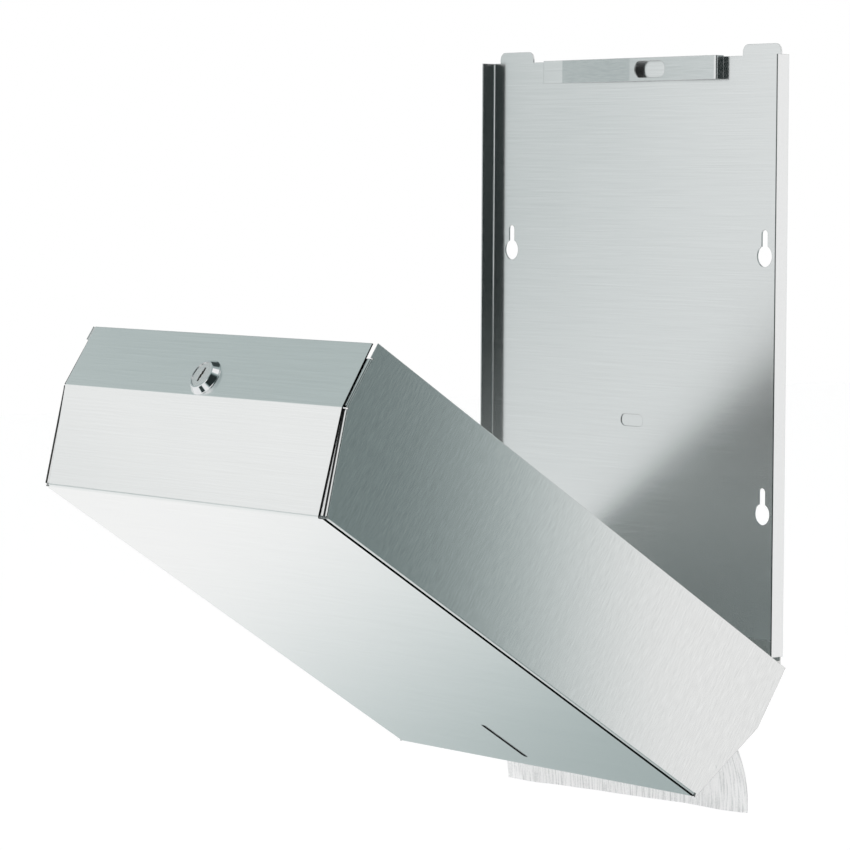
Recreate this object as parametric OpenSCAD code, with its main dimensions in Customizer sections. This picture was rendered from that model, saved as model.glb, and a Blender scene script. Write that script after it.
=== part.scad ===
// Surface mounted towel dispenser for folded paper towels.
// A wall plate with side flanges carries a latch strap and a full length hinge.
// The cover swings down on the hinge and is held shut by a cam lock that hooks behind the strap.
// The wall is the plane y = 0 and x = 0 is the middle of the dispenser.
// The origin is the middle of the four screw holes, on the wall.
// Pieces of the cover are drawn shut, with z = 0 at the cover's bottom, and then swung open.

/* [Cover] */
// Width over the two side panels
cover_w = 273; // [240:1:320]
// Height of the cover
cover_h = 356; // [300:1:420]
// Depth of the cover from its rear edges to its front face
cover_depth = 95.5; // [88:0.5:120]
// Depth of the flat part at the top and at the bottom
flat_depth = 39.4; // [36:0.2:46]
// Height of the sloping part between a flat and the front
slope_h = 20.5; // [14:0.5:28]
// Thickness of the cover's sheet
sheet_t = 0.8; // [0.6:0.1:1.1]
// Gap between the wall and the rear edges of the shut cover
rear_gap = 3.6; // [3:0.1:5]
// Angle that the cover swings down from shut
open_angle = 56.85; // [30:0.05:60]

/* [Folded edges of the cover] */
// Inner radius of the bends that run across the wrap
bend_r = 1.2; // [0.6:0.1:2.5]
// Inner radius of the bends along the sides
side_bend_r = 0.4; // [0.3:0.1:1.2]
// Width of the edges that turn in for the spot welds
turned_w = 11; // [8:0.5:14]
// Distance from the right side panel's face to the wrap's edge, at the rear
wrap_edge_rear = 5.5; // [3.6:0.1:7]
// Distance from the left side panel's face to the wrap's edge, at the rear
wrap_edge_rear_left = 2.3; // [2.2:0.1:7]
// Distance from a side panel's face to the wrap's edge, at the first bend
wrap_edge_kink = 3.3; // [3.2:0.1:6]
// Distance from a side panel's face to the wrap's edge, at the end of the slope
wrap_edge_slope = 6.2; // [3.2:0.1:7]
// Distance from a side panel's face to the wrap's edge, along the front
wrap_edge_front = 2.3; // [2.2:0.1:6.5]
// Slit left between two turned in edges at a corner, past the bend there
corner_gap = 0.3; // [0.2:0.1:2]
// Length at the rear with no turned in edge
rear_notch = 9; // [6:0.5:12]

/* [Openings of the cover] */
// Distance from a side panel's face to the end of the dispensing opening
mouth_side = 16.5; // [14:0.5:30]
// Depth at which the dispensing opening starts
mouth_rear = 30; // [26:0.5:34]
// Distance from the cover's front face to the front edge of the dispensing opening
mouth_lip = 23.5; // [20:0.5:30]
// Corner radius of the dispensing opening
mouth_r = 6; // [3:0.5:10]
// Width of the folded back hem on the long edges of the opening
hem_w = 6; // [4:0.5:8]
// Length of the level slot in the front
level_l = 39; // [25:1:60]
// Width of the level slot
level_w = 3; // [2:0.1:4]
// Height of the level slot's middle above the cover's bottom
level_z = 54.5; // [45:0.5:80]

/* [Wall plate] */
// Gap between a side panel and the plate's flange
plate_side_gap = 1.7; // [1.2:0.1:4]
// Gap between the top of the cover's inside and the plate's top edge
plate_top_gap = 1; // [0.6:0.1:3]
// Height of the plate's lower edge above the cover's bottom
plate_z0 = 6.7; // [5.5:0.1:9]
// Thickness of the plate's sheet
plate_t = 0.9; // [0.7:0.1:1.2]
// How far the side flanges stand out from the wall
flange_h = 10; // [7:0.5:11]
// Inner radius of the flange bends
plate_bend_r = 0.8; // [0.5:0.1:2]
// Distance from the plate's side to the outer side of each top tab
tab_side = 7; // [3:0.5:20]
// Width of each top tab
tab_w = 32; // [20:1:34]
// Height of each top tab above the plate's edge
tab_h = 6.6; // [4:0.1:10]
// Corner radius of the top tabs
tab_r = 4.5; // [1:0.5:6]

/* [Screw holes] */
// Distance from the plate's side to the middle of a screw hole
screw_side = 19; // [18:0.5:40]
// Distance between the upper and lower screw holes
screw_pitch_z = 150; // [120:1:200]
// Height of the lower screw holes above the cover's bottom
screw_z = 88; // [70:1:110]
// Radius of the round end of a screw hole
screw_head_r = 6.25; // [5:0.05:7]
// Width of the narrow end of a screw hole
screw_neck_w = 5.2; // [4.2:0.1:6.5]
// Height from the middle of the round end to the top of the narrow end
screw_neck_h = 15.3; // [11:0.1:20]
// Length of the pressed oblong below the middle of the plate
oblong_l = 20; // [12:1:30]
// Height of the pressed oblong
oblong_h = 7.3; // [5:0.1:10]
// Height of the pressed oblong's middle above the cover's bottom
oblong_z = 137; // [125:1:180]
// Depth of the pressed oblong
oblong_d = 0.45; // [0.2:0.05:0.5]

/* [Latch strap] */
// Distance from the middle to the strap's flat end
strap_left = 84; // [75:1:90]
// Distance from the middle to the strap's raised end
strap_right = 78.5; // [60:0.5:88]
// Length of the flat end that is welded to the plate
strap_foot = 18; // [12:1:24]
// Height of the strap
strap_h = 14; // [12.5:0.1:16]
// Rise of the strap's front above the plate at the middle
strap_rise_mid = 4.2; // [3.6:0.1:4.8]
// Rise of the strap's front above the plate at the raised end
strap_rise_end = 6; // [5:0.1:7]
// Thickness of the strap
strap_t = 0.9; // [0.7:0.1:1.1]
// Length of the slot in the strap
slot_l = 28; // [24:0.5:34]
// Height of the slot in the strap
slot_h = 10; // [7:0.1:10.5]

/* [Hinge] */
// Number of knuckles
knuckles = 21; // [9:2:27]
// Radius of the knuckles
knuckle_r = 1.7; // [1.5:0.05:2]
// Thickness of the hinge leaves
leaf_t = 0.8; // [0.6:0.05:0.8]
// Radius of the hinge pin
pin_r = 0.85; // [0.6:0.05:0.85]
// Width of each hinge leaf from the pin
leaf_w = 12; // [10:0.5:14]

/* [Lock] */
// From the lock's axis forward to the bend of the cover's top
lock_to_bend = 11.3; // [11.2:0.1:11.8]
// Radius of the lock's bezel
bezel_r = 11.1; // [10.8:0.1:11.1]
// Height of the bezel above the cover
bezel_h = 4; // [3:0.1:5]
// Radius of the bezel's top rim
rim_r = 8.55; // [8.4:0.05:9]
// Radius of the face that the key goes into
face_r = 7.55; // [7:0.05:7.7]
// Radius of the threaded barrel
barrel_r = 9.4; // [9:0.1:9.8]
// Distance between the barrel's two flats
barrel_flats = 16; // [14.5:0.1:17]
// Length of the barrel below the cover's outer face
barrel_l = 11; // [10.6:0.1:12]
// Radius of the turning plug
plug_r = 6; // [5.4:0.1:6.4]
// Width of the cam's arm
cam_w = 8; // [6:0.1:9]
// Thickness of the cam
cam_t = 1.6; // [1.2:0.1:2]

/* [Towels] */
// Room at the sides of the folded towels, both sides together
towel_room_w = 43.4; // [30:0.2:60]
// Room behind the folded towels, up to the cover's rear edge
towel_room_rear = 14.4; // [13:0.1:24]
// Number of folded towels left in the cover
towels = 8; // [4:1:8]
// Thickness of one folded towel
towel_t = 1.5; // [1:0.1:1.6]
// Distance that the hanging towel reaches below the opening
tail_drop = 54; // [35:1:60]

/* [Hidden] */
$fn = 48;

// Shared small values
overrun = 1;
weld_overlap = 0.5;
seat_gap = 0.3;
run_gap = 0.05;
bend_steps = 6;

// Places that follow from the driving sizes
origin_z = screw_z + screw_pitch_z / 2;
side_r = side_bend_r + sheet_t;
wrap_x = cover_w / 2 - sheet_t - side_r;
plate_x = cover_w / 2 - sheet_t - plate_side_gap;
plate_z1 = cover_h - sheet_t - plate_top_gap;
screw_x = plate_x - screw_side;
mouth_w = cover_w - 2 * mouth_side;
mouth_front = cover_depth - mouth_lip;
towel_w = cover_w - 2 * sheet_t - towel_room_w;
hinge_y = plate_t + knuckle_r;
hinge_z = sheet_t + knuckle_r;
lock_y = rear_gap + flat_depth - lock_to_bend;

// Place of a point of the shut cover, from its depth and height, as y and z
function shut(depth, height) = [-(rear_gap + depth), height];

// Outline of the cover from its top rear edge, over the front, to its bottom rear edge
cover_points = [
    shut(0, cover_h), shut(flat_depth, cover_h), shut(cover_depth, cover_h - slope_h),
    shut(cover_depth, slope_h), shut(flat_depth, 0), shut(0, 0)];

// Geometry of bent sheet
function heading(a, b) = atan2(b[1] - a[1], b[0] - a[0]);
function turn(a, b, c) =
    let (w = heading(b, c) - heading(a, b))
    w > 180 ? w - 360 : (w < -180 ? w + 360 : w);
function polar(r, a) = [r * cos(a), r * sin(a)];
function reversed(v) = [for (i = [len(v) - 1:-1:0]) v[i]];

// Points of one bend, on the line that lies at the given offset to the left of the outline
function bend_points(a, b, c, off, t, r) =
    let (h = heading(a, b), w = turn(a, b, c), side = w > 0 ? 1 : -1, outer = side > 0 ? r + t : r)
    let (mid = b + polar(outer / cos(w / 2), h + w / 2 + side * 90))
    [for (i = [0:bend_steps]) mid + polar(outer - side * off, h - side * 90 + w * i / bend_steps)];
function sheet_line(pts, off, t, r) = concat(
    [pts[0] + polar(off, heading(pts[0], pts[1]) + 90)],
    [for (i = [1:len(pts) - 2]) each bend_points(pts[i - 1], pts[i], pts[i + 1], off, t, r)],
    [pts[len(pts) - 1] + polar(off, heading(pts[len(pts) - 2], pts[len(pts) - 1]) + 90)]);

// Section of a sheet bent along an outline, with its thickness to the left
module bent_sheet(pts, t, r) {
    polygon(concat(sheet_line(pts, 0, t, r), reversed(sheet_line(pts, t, t, r))));
}

// Corner of the cover's outline moved inwards
function inset_point(i, dist) =
    i == 0 ? cover_points[0] + polar(dist, heading(cover_points[0], cover_points[1]) + 90)
    : i == 5 ? cover_points[5] + polar(dist, heading(cover_points[4], cover_points[5]) + 90)
    : let (h = heading(cover_points[i - 1], cover_points[i]))
      let (w = turn(cover_points[i - 1], cover_points[i], cover_points[i + 1]))
      cover_points[i] + polar(dist / cos(w / 2), h + w / 2 + 90);

// Extrusions of a section drawn in y and z, and of one drawn in x and z
module along_x(x0, x1) {
    translate([x0, 0, 0]) rotate([90, 0, 90]) linear_extrude(x1 - x0) children();
}
module along_y(y0, y1) {
    translate([0, y1, 0]) rotate([90, 0, 0]) linear_extrude(y1 - y0) children();
}

// Frames that the pieces are drawn in
module in_place() {
    translate([0, 0, -origin_z]) children();
}
module swung() {
    in_place() translate([0, -hinge_y, hinge_z]) rotate([open_angle, 0, 0])
        translate([0, hinge_y, -hinge_z]) children();
}
module at_lock() {
    swung() translate([0, -lock_y, cover_h]) children();
}
module both_sides() {
    children();
    mirror([1, 0, 0]) children();
}

// Flat shapes
module slot_shape(length, width) {
    square([length - width, width], center = true);
    for (s = [-1, 1]) translate([s * (length - width) / 2, 0]) circle(d = width);
}
module round_rect(w, h, r) {
    square([w - 2 * r, h], center = true);
    square([w, h - 2 * r], center = true);
    for (i = [-1, 1], j = [-1, 1]) translate([i * (w / 2 - r), j * (h / 2 - r)]) circle(r);
}

// Wall plate
module keyhole_shape() {
    circle(screw_head_r);
    neck_top = screw_neck_h - screw_neck_w / 2;
    translate([-screw_neck_w / 2, 0]) square([screw_neck_w, neck_top]);
    translate([0, neck_top]) circle(d = screw_neck_w);
}

module top_tab() {
    height = tab_h + weld_overlap;
    translate([plate_x - tab_side - tab_w / 2, plate_z1 - weld_overlap]) {
        translate([-tab_w / 2, 0]) square([tab_w, height - tab_r]);
        translate([-tab_w / 2 + tab_r, 0]) square([tab_w - 2 * tab_r, height]);
        for (s = [-1, 1]) translate([s * (tab_w / 2 - tab_r), height - tab_r]) circle(tab_r);
    }
}

module back_plate() {
    outline = [[plate_x, -flange_h], [plate_x, 0], [-plate_x, 0], [-plate_x, -flange_h]];
    color("silver") in_place() difference() {
        union() {
            translate([0, 0, plate_z0]) linear_extrude(plate_z1 - plate_z0)
                bent_sheet(outline, plate_t, plate_bend_r);
            both_sides() along_y(-plate_t, 0) top_tab();
        }
        for (i = [-1, 1], j = [0, 1]) {
            along_y(-plate_t - overrun, overrun)
                translate([i * screw_x, screw_z + j * screw_pitch_z]) keyhole_shape();
        }
        along_y(-plate_t - overrun, oblong_d - plate_t)
            translate([0, oblong_z]) slot_shape(oblong_l, oblong_h);
    }
}

// Latch strap
strap_z1 = cover_h - sheet_t - seat_gap;
strap_z0 = strap_z1 - strap_h;
slot_z = (strap_z0 + strap_z1) / 2;
// Angle from the wall at which the cam's arm stands when it is locked, and how far it turns
cam_locked = 24;
cam_travel = 90;
// Distance from the lock's axis to the back of the strap at the middle
strap_reach = lock_y - plate_t - strap_rise_mid + strap_t / 2;
// Side gap between the slot's end and the locked arm
slot_side_gap = 3.1;
slot_x0 = strap_reach * tan(cam_locked) - cam_w / 2 / cos(cam_locked) - slot_side_gap;

module latch_strap() {
    foot_y = -plate_t - strap_t;
    outline = [
        [-strap_left, foot_y], [-strap_left + strap_foot, foot_y], [0, -plate_t - strap_rise_mid],
        [strap_right, -plate_t - strap_rise_end], [strap_right, -plate_t]];
    color("silver") in_place() difference() {
        translate([0, 0, strap_z0]) linear_extrude(strap_h) bent_sheet(outline, strap_t, plate_bend_r);
        along_y(-plate_t - strap_rise_end - overrun, -plate_t)
            translate([slot_x0 + slot_l / 2, slot_z]) slot_shape(slot_l, slot_h);
    }
}

// Hinge
hinge_x = plate_x - knuckle_r;
knuckle_gap = 0.3;
knuckle_pitch = 2 * hinge_x / knuckles;

module knuckle_runs(first) {
    for (i = [first:2:knuckles - 1]) {
        start = -hinge_x + i * knuckle_pitch;
        along_x(start + knuckle_gap / 2, start + knuckle_pitch - knuckle_gap / 2) children();
    }
}

// Leaf that stands up from the pin, with the pin at the drawing's origin
module leaf_knuckle() {
    circle(knuckle_r);
    translate([knuckle_r - leaf_t, 0]) square([leaf_t, leaf_w]);
}
module leaf_strip() {
    root = knuckle_r + knuckle_gap;
    translate([knuckle_r - leaf_t, root]) square([leaf_t, leaf_w - root]);
}
module hinge_leaf(first) {
    difference() {
        union() {
            along_x(-hinge_x, hinge_x) leaf_strip();
            knuckle_runs(first) leaf_knuckle();
        }
        along_x(-hinge_x - overrun, hinge_x + overrun) circle(pin_r + run_gap);
    }
}

module hinge_leaf_plate() {
    color("lightgray") in_place() translate([0, -hinge_y, hinge_z]) hinge_leaf(0);
}

module hinge_leaf_cover() {
    color("lightgray") swung() translate([0, -hinge_y, hinge_z]) rotate([-90, 0, 0]) mirror([0, 0, 1])
        hinge_leaf(1);
}

module hinge_pin() {
    color("gray") in_place() translate([0, -hinge_y, hinge_z]) along_x(-hinge_x, hinge_x) circle(pin_r);
}

// Facets of the cover, numbered from the top rear one: 0 and 4 are flat, 1 and 3 slope and 2 is the front
function facet_angle(i) = heading(cover_points[i], cover_points[i + 1]);
function facet_length(i) = norm(cover_points[i + 1] - cover_points[i]);
// Point at a distance along a facet and at a depth under it
function facet_point(i, along, under) =
    cover_points[i] + polar(along, facet_angle(i)) + polar(under, facet_angle(i) + 90);

// Distance from a corner of the outline to a turned in edge, which starts past a bend of that radius
function corner_trim(i, r) =
    r * tan(abs(turn(cover_points[i - 1], cover_points[i], cover_points[i + 1])) / 2) + corner_gap / 2;

// A section drawn from the outer face inwards, as x and minus the depth, is run along a facet
module facet_run(i) {
    a = cover_points[i];
    translate([0, a[0], a[1]]) rotate([facet_angle(i) - 90, 0, 0])
        linear_extrude(facet_length(i)) children();
}

// Wedge between two corner lines, in which the turned in edge of one facet lies
module facet_wedge(i, r) {
    start = polar(i == 0 ? rear_notch : corner_trim(i, r), facet_angle(i));
    end = polar(i == 4 ? rear_notch : corner_trim(i + 1, r), facet_angle(i));
    along_x(0, cover_w) polygon([
        inset_point(i, -overrun) + start, inset_point(i + 1, -overrun) - end,
        inset_point(i + 1, turned_w + overrun) - end, inset_point(i, turned_w + overrun) + start]);
}

// Quarter ring of a side bend, from the facet's side down to the side's face
module side_bend() {
    intersection() {
        difference() {
            circle(side_r);
            circle(side_bend_r);
        }
        square(side_r + overrun);
    }
}

// Edge of the wrap that turns up inside a side panel, with a tongue into the wrap's own thickness
module wrap_edge_section() {
    translate([wrap_x, -side_r]) side_bend();
    translate([wrap_x - weld_overlap, -sheet_t * 0.75]) square([2 * weld_overlap, sheet_t / 2]);
    translate([wrap_x + side_bend_r, -turned_w]) square([sheet_t, turned_w - side_r]);
}

// Edge of a side panel that turns in under the wrap, with a tongue into the panel's own thickness
module panel_edge_section() {
    x = cover_w / 2 - side_r;
    translate([x, -sheet_t - side_r]) side_bend();
    translate([cover_w / 2 - turned_w, -2 * sheet_t]) square([turned_w - side_r, sheet_t]);
    translate([cover_w / 2 - sheet_t * 0.75, -sheet_t - side_r - weld_overlap])
        square([sheet_t / 2, 2 * weld_overlap]);
}

// What is cut off beside the wrap's edge on one facet, with the edge's distances at its start and end
module edge_cut(i, start, end) {
    a = cover_points[i];
    translate([0, a[0], a[1]]) rotate([facet_angle(i), 0, 0]) translate([0, 0, -overrun])
        linear_extrude(sheet_t + 2 * overrun) polygon([
            [cover_w / 2 - start, -overrun * (i == 0 ? 1 : 0)], [cover_w / 2 - end, facet_length(i)],
            [cover_w / 2, facet_length(i)], [cover_w / 2, -overrun * (i == 0 ? 1 : 0)]]);
}

// Section of the hem along the rear and the front edge of the dispensing opening
slope_angle = atan(slope_h / (cover_depth - flat_depth));
module hem_section() {
    translate([0, sheet_t]) circle(sheet_t);
    translate([0, sheet_t]) square([hem_w, sheet_t]);
}
module mouth_hems() {
    x = mouth_w / 2 - mouth_r;
    front_z = (mouth_front - flat_depth) * tan(slope_angle);
    along_x(-x, x) translate(shut(mouth_rear, 0)) hem_section();
    along_x(-x, x) translate(shut(mouth_front, front_z)) rotate(-slope_angle) mirror([1, 0]) hem_section();
}

module cover_wrap() {
    mouth_mid = rear_gap + (mouth_rear + mouth_front) / 2;
    color("gainsboro") swung() {
        difference() {
            union() {
                along_x(-wrap_x, wrap_x) bent_sheet(cover_points, sheet_t, bend_r);
                both_sides() for (i = [3, 4]) intersection() {
                    facet_run(i) wrap_edge_section();
                    facet_wedge(i, bend_r + sheet_t);
                }
            }
            edge_cut(0, wrap_edge_rear, wrap_edge_kink);
            mirror([1, 0, 0]) edge_cut(0, wrap_edge_rear_left, wrap_edge_kink);
            both_sides() {
                edge_cut(1, wrap_edge_kink, wrap_edge_slope);
                edge_cut(2, wrap_edge_front, wrap_edge_front);
            }
            translate([0, -mouth_mid, -overrun]) linear_extrude(slope_h + overrun)
                round_rect(mouth_w, mouth_front - mouth_rear, mouth_r);
            along_y(-rear_gap - cover_depth - overrun, -rear_gap - cover_depth + sheet_t + overrun)
                translate([0, level_z]) rotate(90) slot_shape(level_l, level_w);
            translate([0, -lock_y, cover_h - sheet_t - overrun]) linear_extrude(sheet_t + 2 * overrun)
                barrel_shape(barrel_r + hole_gap, barrel_flats + 2 * hole_gap);
        }
        mouth_hems();
    }
}

// Side panels, whose edges turn in under the wrap at the top and the front
module side_panel() {
    under = sheet_t + side_r;
    ear = rear_notch - corner_gap;
    low = facet_length(2) - corner_trim(3, bend_r);
    outline = [
        cover_points[0], facet_point(0, ear, 0), facet_point(0, ear, under), inset_point(1, under),
        inset_point(2, under), facet_point(2, low, under), facet_point(2, low + corner_gap, 0),
        cover_points[3], cover_points[4], cover_points[5]];
    along_x(cover_w / 2 - sheet_t, cover_w / 2) polygon(outline);
    for (i = [0:2]) intersection() {
        facet_run(i) panel_edge_section();
        facet_wedge(i, bend_r);
    }
}
module side_panel_left() {
    color("gainsboro") swung() mirror([1, 0, 0]) side_panel();
}
module side_panel_right() {
    color("gainsboro") swung() side_panel();
}

// Lock, drawn about its axis with z = 0 on the cover's outer face
hole_gap = 0.2;
bezel_edge = 0.6;
rim_fillet = 0.3;
face_drop = 0.4;
face_z = bezel_h - face_drop;
counter_depth = 2.1;
counter_z = face_z - counter_depth;
axial_gap = 0.2;
// Stops at the barrel's end, which leave the lug of the stop washer its travel
stop_h = 1.2;
stop_r = 7.3;
lug_angle = 56;
stop_gap_angle = 2;
drive_w = 7;
washer_t = 0.6;
nut_t = 2.6;
nut_flats = 21.6;
washer_r = 10.8;
thread_gap = 0.05;

module barrel_shape(r, flats) {
    intersection() {
        circle(r);
        square([flats, 2 * r + overrun], center = true);
    }
}

module lock_housing() {
    color("white") at_lock() difference() {
        union() {
            rotate_extrude() polygon([
                [0, 0], [bezel_r, 0], [bezel_r, bezel_edge / 2], [bezel_r - bezel_edge / 2, bezel_edge],
                [rim_r + rim_fillet, bezel_h - rim_fillet], [rim_r, bezel_h], [0, bezel_h]]);
            translate([0, 0, -barrel_l]) linear_extrude(barrel_l) barrel_shape(barrel_r, barrel_flats);
            translate([0, 0, -barrel_l - stop_h]) linear_extrude(stop_h + weld_overlap) intersection() {
                stop_ring();
                barrel_shape(barrel_r, barrel_flats);
            }
        }
        translate([0, 0, -barrel_l - stop_h - overrun])
            cylinder(r = plug_r + run_gap, h = barrel_l + stop_h + bezel_h + 2 * overrun);
        translate([0, 0, counter_z]) cylinder(r = face_r + run_gap, h = bezel_h);
    }
}

// Part of a ring between two angles
module ring_part(r0, r1, a0, a1) {
    far = 2 * r1;
    mid = (a0 + a1) / 2;
    intersection() {
        difference() {
            circle(r1);
            circle(r0);
        }
        polygon([[0, 0], polar(far, a0), polar(far, mid), polar(far, a1)]);
    }
}

// Angle of the stop washer's lug at rest, and the sector that the stops leave free for it
lug_start = 0;
module stop_ring() {
    free_a0 = lug_start - stop_gap_angle;
    free_a1 = lug_start + lug_angle + cam_travel + stop_gap_angle;
    ring_part(stop_r, barrel_r, free_a1, free_a0 + 360);
}

module lock_washer() {
    teeth = 12;
    notch_w = 1;
    notch_l = 0.6;
    color("silver") at_lock() translate([0, 0, -sheet_t - washer_t]) linear_extrude(washer_t) difference() {
        circle(r = washer_r);
        circle(r = barrel_r + hole_gap);
        for (i = [0:teeth - 1]) rotate(i * 360 / teeth) translate([washer_r, 0])
            square([2 * notch_l, notch_w], center = true);
    }
}

module lock_nut() {
    corner_r = nut_flats / 2 / cos(30);
    chamfer = 0.8;
    color("silver") at_lock() translate([0, 0, -sheet_t - washer_t - nut_t]) difference() {
        intersection() {
            cylinder(r = corner_r, h = nut_t, $fn = 6);
            rotate_extrude() polygon([
                [0, 0], [corner_r - chamfer, 0], [corner_r, chamfer], [corner_r, nut_t - chamfer],
                [corner_r - chamfer, nut_t], [0, nut_t]]);
        }
        translate([0, 0, -overrun]) cylinder(r = barrel_r + thread_gap, h = nut_t + 2 * overrun);
    }
}

// Keyway with two offset steps, along the cover's depth at rest
key_l = 8.8;
key_w = 1.5;
key_step = 1.1;
key_depth = 10;
wafer_count = 5;
wafer_pitch = 1.5;
wafer_t = 0.8;
wafer_w = 4.6;
wafer_gap = 0.05;
wafer_top = 0.4;
wafer_rim = 0.15;
spring_r = 0.5;
spring_l = 3;

module keyway_shape() {
    square([key_w, key_l * 0.5], center = true);
    for (s = [-1, 1]) translate([s * key_step / 2, s * key_l / 4]) square([key_w, key_l / 2], center = true);
}

// Height of one wafer's lower face
function wafer_z(i) = counter_z - wafer_top - wafer_t - i * wafer_pitch;

module lock_plug() {
    drive_z = cam_z + drive_short;
    disc_z = counter_z + axial_gap;
    color("lightgray") at_lock() difference() {
        union() {
            translate([0, 0, disc_z]) cylinder(r = face_r, h = face_z - disc_z);
            translate([0, 0, -barrel_l]) cylinder(r = plug_r, h = barrel_l + disc_z + weld_overlap);
            translate([0, 0, drive_z]) linear_extrude(-drive_z - barrel_l + weld_overlap)
                square(drive_w, center = true);
        }
        translate([0, 0, face_z - key_depth]) linear_extrude(key_depth + overrun) keyway_shape();
        for (i = [0:wafer_count - 1])
            translate([0, 0, wafer_z(i) - wafer_gap]) linear_extrude(wafer_t + 2 * wafer_gap)
                square([wafer_w + 2 * wafer_gap, 2 * plug_r + overrun], center = true);
        translate([0, 0, drive_z - overrun])
            cylinder(r = cam_screw_r + thread_gap, h = cam_screw_l + overrun);
        spring_pockets();
    }
}

// Springs lie beside the keyway, each against the end of its wafer
spring_x = wafer_w / 2 + spring_r + 0.2;
module spring_pockets() {
    for (i = [0:wafer_count - 1]) translate([spring_x, -spring_l / 2 - wafer_gap, wafer_z(i) + wafer_t / 2])
        rotate([-90, 0, 0]) cylinder(r = spring_r + wafer_gap, h = spring_l + 2 * wafer_gap);
}
module wafer_springs() {
    wire = 0.2;
    color("gray") at_lock() for (i = [0:wafer_count - 1])
        translate([spring_x, -spring_l / 2, wafer_z(i) + wafer_t / 2]) rotate([-90, 0, 0]) difference() {
            cylinder(r = spring_r, h = spring_l);
            translate([0, 0, -overrun]) cylinder(r = spring_r - wire, h = spring_l + 2 * overrun);
        }
}

module lock_wafers() {
    color("gold") at_lock() for (i = [0:wafer_count - 1])
        translate([0, 0, wafer_z(i)]) linear_extrude(wafer_t) difference() {
            intersection() {
                square([wafer_w, 2 * plug_r], center = true);
                circle(plug_r - wafer_rim);
            }
            square([key_w + key_step + 2 * wafer_gap, key_l + 2 * wafer_gap], center = true);
        }
}

module stop_washer() {
    color("silver") at_lock() translate([0, 0, cam_z + cam_t]) linear_extrude(stop_h) difference() {
        union() {
            circle(stop_r - axial_gap);
            ring_part(drive_w / 2, barrel_r, lug_start, lug_start + lug_angle);
        }
        square(drive_w + 2 * wafer_gap, center = true);
    }
}

// Cam: a cranked arm with a hook that passes through the strap's slot and turns in behind it
hook_clear = 0.9;
hook_t = 1.7;
hook_r1 = lock_y - plate_t - hook_clear;
hook_r0 = hook_r1 - hook_t;
// Angle that the hook reaches ahead of the arm
hook_angle = 27;
cam_z = -barrel_l - stop_h - axial_gap - cam_t;
cam_tip_z = slot_z - cover_h - cam_t / 2;
hub_r = 8;
crank_r = 11;
crank_run = 3.4;

module lock_cam() {
    outline = [
        [0, cam_z], [crank_r, cam_z], [crank_r + crank_run, cam_tip_z], [hook_r1 + overrun, cam_tip_z]];
    color("silver") at_lock() difference() {
        rotate([0, 0, 90 - cam_locked - cam_travel]) {
            intersection() {
                along_y(-cam_w / 2, cam_w / 2) bent_sheet(outline, cam_t, plate_bend_r);
                translate([0, 0, cam_z - overrun])
                    cylinder(r = hook_r1, h = cam_tip_z - cam_z + cam_t + 2 * overrun);
            }
            translate([0, 0, cam_z]) cylinder(r = hub_r, h = cam_t);
            translate([0, 0, cam_tip_z]) linear_extrude(cam_t) ring_part(hook_r0, hook_r1, 0, hook_angle);
        }
        translate([0, 0, cam_z - overrun]) linear_extrude(cam_t + 2 * overrun)
            square(drive_w + 2 * wafer_gap, center = true);
    }
}

// Screw and washer that hold the cam on the plug's square end, which stops short of the cam's lower face
drive_short = 0.2;
cam_screw_head_r = 3.6;
cam_screw_head_h = 2.2;
cam_screw_dome = 0.6;
cam_washer_r = 6;
cam_screw_r = 1.55;
cam_screw_l = 4;
module cam_washer() {
    color("silver") at_lock() translate([0, 0, cam_z - washer_t]) difference() {
        cylinder(r = cam_washer_r, h = washer_t);
        translate([0, 0, -overrun]) cylinder(r = cam_screw_r + thread_gap, h = washer_t + 2 * overrun);
    }
}

module cam_screw() {
    cross_w = 0.9;
    cross_l = 3.6;
    cross_d = 1.2;
    side = cam_screw_head_r - cam_screw_dome;
    color("gray") at_lock() translate([0, 0, cam_z - washer_t]) difference() {
        union() {
            rotate_extrude() polygon([
                [0, 0], [cam_screw_head_r, 0], [cam_screw_head_r, cam_screw_dome - cam_screw_head_h],
                [side, -cam_screw_head_h], [0, -cam_screw_head_h]]);
            translate([0, 0, -weld_overlap]) cylinder(r = cam_screw_r, h = cam_screw_l + weld_overlap);
        }
        translate([0, 0, -cam_screw_head_h - overrun]) linear_extrude(cross_d + overrun) {
            square([cross_l, cross_w], center = true);
            square([cross_w, cross_l], center = true);
        }
    }
}

// Towels. They lie on the hems of the opening and against the front.
towel_off = 5;
floor_gap = 2 * sheet_t + seat_gap;
stack_front = cover_depth - sheet_t - seat_gap;
stack_rear = towel_room_rear;
edge_steps = 4;

// Height above the cover's bottom of a surface that lies at a given height over the floor
function over_floor(depth, up) =
    let (knee = flat_depth - up * tan(slope_angle / 2))
    up + max(0, depth - knee) * tan(slope_angle);

// Round edge of one folded towel, from its lower to its upper face
function towel_edge(k, depth, side) = [for (j = [0:edge_steps])
    let (a = -90 + 180 * j / edge_steps, mid = floor_gap + (k + 0.5) * towel_t)
    shut(depth + side * towel_t / 2 * (cos(a) - 1), over_floor(depth, mid) + towel_t / 2 * sin(a))];

module towel_stack() {
    knees = [for (up = [floor_gap, floor_gap + towels * towel_t])
        shut(flat_depth - up * tan(slope_angle / 2), up)];
    outline = concat(
        [knees[0]], [for (k = [0:towels - 1]) each towel_edge(k, stack_front, 1)],
        [knees[1]], [for (k = [towels - 1:-1:0]) each reversed(towel_edge(k, stack_rear, -1))]);
    color("white") swung() along_x(towel_off - towel_w / 2, towel_off + towel_w / 2) polygon(outline);
}

// Towel that hangs out of the opening, drawn where it hangs with the cover open
tail_t = 0.6;
tail_depth = 45.3;
tail_rows = 12;
tail_cols = 8;
// Angle from plumb at which the towel leaves the opening
tail_lean = 36;
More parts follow.
